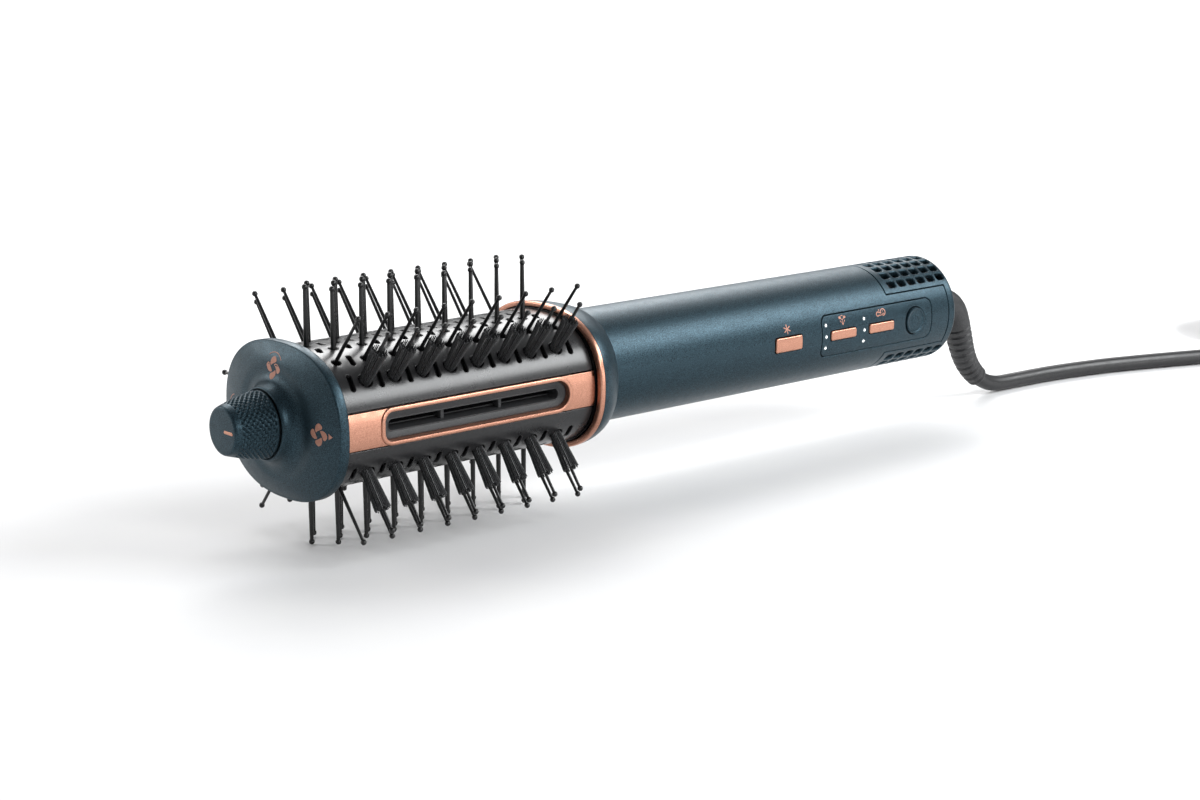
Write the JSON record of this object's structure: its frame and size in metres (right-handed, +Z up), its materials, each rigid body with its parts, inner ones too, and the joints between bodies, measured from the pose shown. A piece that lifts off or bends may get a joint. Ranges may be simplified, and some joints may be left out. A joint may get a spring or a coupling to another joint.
{
  "type": "hot air brush",
  "caption": "Hand-held hot air styling brush with an oval bristled barrel, air selector knob, push-button handle, rear intake grille and swivel mains lead with plug.",
  "frame": {"origin": "middle of the brush's length and width, at the height of its lowest bristle tips", "axes": "+X from the front knob towards the swivel lead, +Z up through the upright bristles; the buttons and lights are on the -Y side"},
  "size_m": [0.7095, 0.1077, 0.084],
  "materials": {
    "teal_shell": "metallic teal, gloss",
    "copper_trim": "rose-gold metallic paint, satin",
    "ceramic_cover": "glossy charcoal ceramic coating",
    "black_nylon": "moulded black nylon",
    "tuft_fibre": "packed soft filaments",
    "white_acetal": "moulded, plain",
    "steel": "turned",
    "duct_aluminium": "drawn tube",
    "grey_plastic": "moulded, plain",
    "mica": "pressed mica sheet",
    "heater_wire": "resistance wire",
    "magnet": "sintered",
    "bronze": "sintered bronze",
    "board_green": "coated laminate",
    "light_white": "clear-white light guide",
    "boot_rubber": "moulded, matt",
    "cord_black": "smooth PVC sheath",
    "plug_metal": "nickel plated"
  },
  "bodies": {
    "brush": {"handle_tube": "teal_shell", "handle_collar": "teal_shell", "accent_ring": "copper_trim", "barrel_bulkhead": "black_nylon", "barrel_cover_top": "ceramic_cover", "barrel_cover_bottom": "ceramic_cover", "side_trim": "copper_trim", "nozzle_frame": "black_nylon", "side_pins": "black_nylon", "bristle_carriers": "black_nylon", "upright_pins_top": "black_nylon", "upright_pins_bottom": "black_nylon", "leaning_pins_top": "black_nylon", "leaning_pins_bottom": "black_nylon", "tufted_pins_top": "black_nylon", "tufted_pins_bottom": "black_nylon", "bristle_tufts_top": "tuft_fibre", "bristle_tufts_bottom": "tuft_fibre", "front_end_cap": "teal_shell", "selector_bush": "white_acetal", "core_duct": "duct_aluminium", "heater_sleeve": "mica", "heater_frame": "mica", "heater_coils": "heater_wire", "thermostat": "steel", "thermal_fuse": "steel", "fan_duct": "grey_plastic", "motor_housing": "steel", "motor_magnets": "magnet", "motor_bearings": "bronze", "circuit_board": "board_green", "board_carrier": "white_acetal", "board_screws": "steel", "tact_switches": "black_nylon", "control_panel": "teal_shell", "status_lights": "light_white", "rear_grille_cover": "teal_shell", "inlet_filter": "steel", "internal_leads": "cord_black", "swivel_socket": "black_nylon", "power_cord": "cord_black", "cord_hank": "cord_black", "hank_tie": "black_nylon", "plug_body": "cord_black", "plug_pins": "plug_metal"},
    "selector": {"selector_knob": "teal_shell", "knob_marker": "copper_trim", "selector_shaft": "steel", "shaft_clip": "steel", "air_shutter": "grey_plastic"},
    "cool_shot_key": {"cool_shot_button": "copper_trim"},
    "temperature_key": {"temperature_button": "copper_trim"},
    "speed_key": {"speed_button": "copper_trim"},
    "power_key": {"power_button": "teal_shell"},
    "rotor": {"motor_shaft": "steel", "rotor_core": "steel", "impeller": "black_nylon"},
    "cord_swivel": {"swivel_spindle": "boot_rubber", "strain_relief": "boot_rubber"}
  },
  "joints": [
    {"name": "airflow_selector", "type": "hinge", "parent": "brush", "child": "selector", "pos_m": [-0.172, -0.00612, 0.042], "axis": [-1, 0, 0], "range_deg": [0, 180]},
    {"name": "cool_shot_press", "type": "slide", "parent": "brush", "child": "cool_shot_key", "axis": [0, 1, 0], "range_m": [0, 0.0008], "stiffness_N_per_m": 300},
    {"name": "temperature_press", "type": "slide", "parent": "brush", "child": "temperature_key", "axis": [0, 1, 0], "range_m": [0, 0.0008], "stiffness_N_per_m": 300},
    {"name": "speed_press", "type": "slide", "parent": "brush", "child": "speed_key", "axis": [0, 1, 0], "range_m": [0, 0.0008], "stiffness_N_per_m": 300},
    {"name": "power_press", "type": "slide", "parent": "brush", "child": "power_key", "axis": [0, 1, 0], "range_m": [0, 0.0008], "stiffness_N_per_m": 300},
    {"name": "fan_spin", "type": "hinge", "parent": "brush", "child": "rotor", "pos_m": [0.004, -0.00612, 0.042], "axis": [1, 0, 0], "continuous": true},
    {"name": "cord_turn", "type": "hinge", "parent": "brush", "child": "cord_swivel", "pos_m": [0.136, -0.00612, 0.042], "axis": [1, 0, 0], "range_deg": [-45, 45]}
  ]
}
